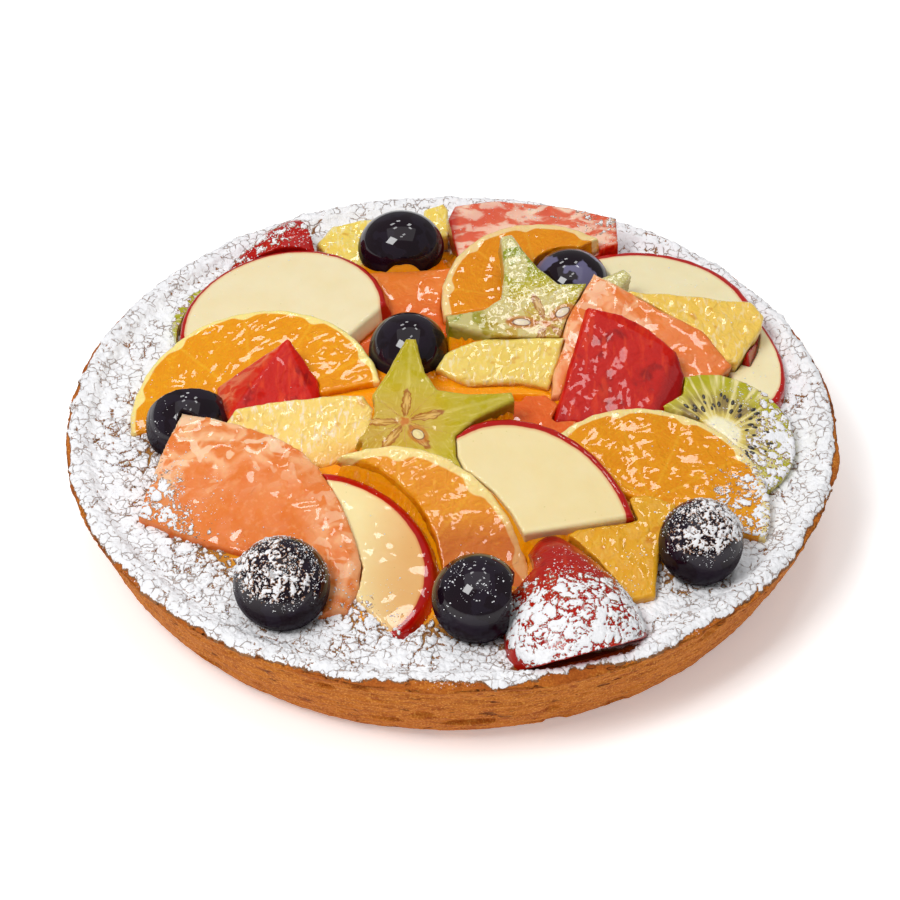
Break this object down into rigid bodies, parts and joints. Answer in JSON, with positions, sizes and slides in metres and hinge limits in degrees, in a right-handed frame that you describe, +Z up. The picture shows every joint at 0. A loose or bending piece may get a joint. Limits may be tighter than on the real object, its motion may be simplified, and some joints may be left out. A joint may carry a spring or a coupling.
{
  "type": "fruit tart",
  "caption": "Round baked fruit tart: a flared pastry case filled with cream and amber jelly, topped with glazed cut fruit and icing sugar.",
  "frame": {"origin": "middle of the flat base, on the surface that the tart stands on", "axes": "+Z up, -Y to the front as the picture shows it, +X to its right"},
  "size_m": [0.2304, 0.2303, 0.0571],
  "materials": {
    "crust": "dry, sandy baked pastry",
    "filling": "baked cream under wet amber jelly",
    "apple": "glazed apple flesh with red skin",
    "orange": "glazed orange pulp with a thin pith ring",
    "melon": "glazed salmon-orange flesh",
    "strawberry": "glazed cut strawberry",
    "kiwi": "glazed green flesh with dark seeds",
    "grape": "smooth dark skin",
    "star_fruit": "glazed translucent flesh",
    "pineapple": "glazed fibrous flesh",
    "sugar": "powdery icing sugar"
  },
  "bodies": {
    "root": {"apple_1": "apple", "apple_2": "apple", "apple_3": "apple", "apple_4": "apple", "apple_5": "apple", "orange_1": "orange", "orange_2": "orange", "orange_3": "orange", "orange_4": "orange", "melon_1": "melon", "melon_2": "melon", "melon_3": "melon", "melon_4": "melon", "straw_1": "strawberry", "straw_2": "strawberry", "straw_3": "strawberry", "straw_4": "strawberry", "straw_5": "strawberry", "kiwi_1": "kiwi", "kiwi_2": "kiwi", "grape_1": "grape", "grape_2": "grape", "grape_3": "grape", "grape_4": "grape", "grape_5": "grape", "grape_6": "grape", "grape_7": "grape", "star_1": "star_fruit", "star_2": "star_fruit", "pine_1": "pineapple", "pine_2": "pineapple", "pine_3": "pineapple", "pine_4": "pineapple", "pine_5": "pineapple", "pine_6": "pineapple", "filling": "filling", "crust": "crust"}
  },
  "joints": []
}
